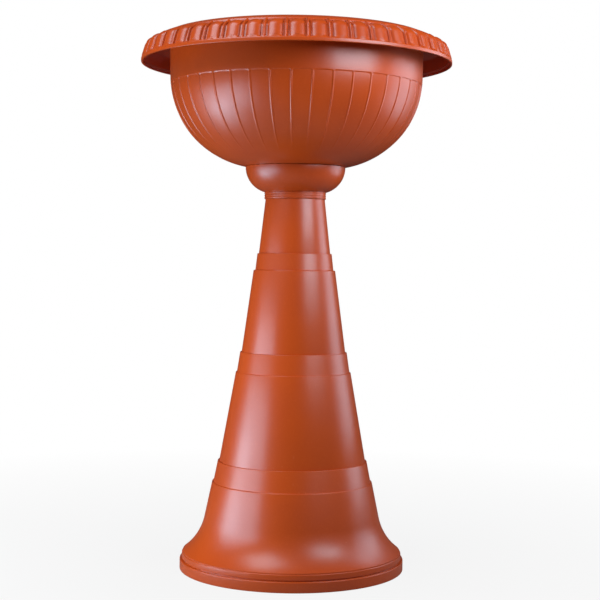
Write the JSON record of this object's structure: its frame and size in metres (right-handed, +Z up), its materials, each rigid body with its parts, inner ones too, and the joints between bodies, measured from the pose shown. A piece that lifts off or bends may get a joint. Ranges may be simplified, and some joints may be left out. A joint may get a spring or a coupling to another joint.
{
  "type": "pedestal planter",
  "caption": "Round pedestal planter: wide ribbed bowl with an out-turned padded rim on a small neck cup, over a tapering sectional pedestal with a flared bell foot and a round base plate.",
  "frame": {"origin": "on the upright axis of the planter, at the level that the base plate stands on", "axes": "+Z up along the planter's axis of revolution, -Y towards the front"},
  "size_m": [0.3574, 0.3572, 0.61],
  "materials": {
    "terracotta_plastic": "satin",
    "seal_rubber": "matte",
    "zinc_steel": "zinc plated",
    "screw_steel": "zinc plated"
  },
  "bodies": {
    "base": {"base_plate": "terracotta_plastic", "base_screws": "screw_steel", "bell_foot": "terracotta_plastic"},
    "lower_section": {"pedestal_lower_section": "terracotta_plastic"},
    "upper_section": {"pedestal_upper_section": "terracotta_plastic"},
    "top_section": {"pedestal_top_section": "terracotta_plastic"},
    "neck": {"neck_cup": "terracotta_plastic"},
    "bowl": {"planter_bowl": "terracotta_plastic", "sealing_washer": "seal_rubber", "head_washer": "zinc_steel", "neck_washer": "zinc_steel", "clamp_bolt": "zinc_steel", "wing_nut": "zinc_steel"}
  },
  "joints": [
    {"name": "lower_section_lift", "type": "slide", "parent": "base", "child": "lower_section", "axis": [0, 0, 1], "range_m": [0, 0.034]},
    {"name": "upper_section_lift", "type": "slide", "parent": "lower_section", "child": "upper_section", "axis": [0, 0, 1], "range_m": [0, 0.033]},
    {"name": "top_section_lift", "type": "slide", "parent": "upper_section", "child": "top_section", "axis": [0, 0, 1], "range_m": [0, 0.029]},
    {"name": "neck_lift", "type": "slide", "parent": "top_section", "child": "neck", "axis": [0, 0, 1], "range_m": [0, 0.032]},
    {"name": "bowl_turn", "type": "hinge", "parent": "neck", "child": "bowl", "pos_m": [0, 0, 0.46], "axis": [0, 0, 1], "continuous": true}
  ]
}
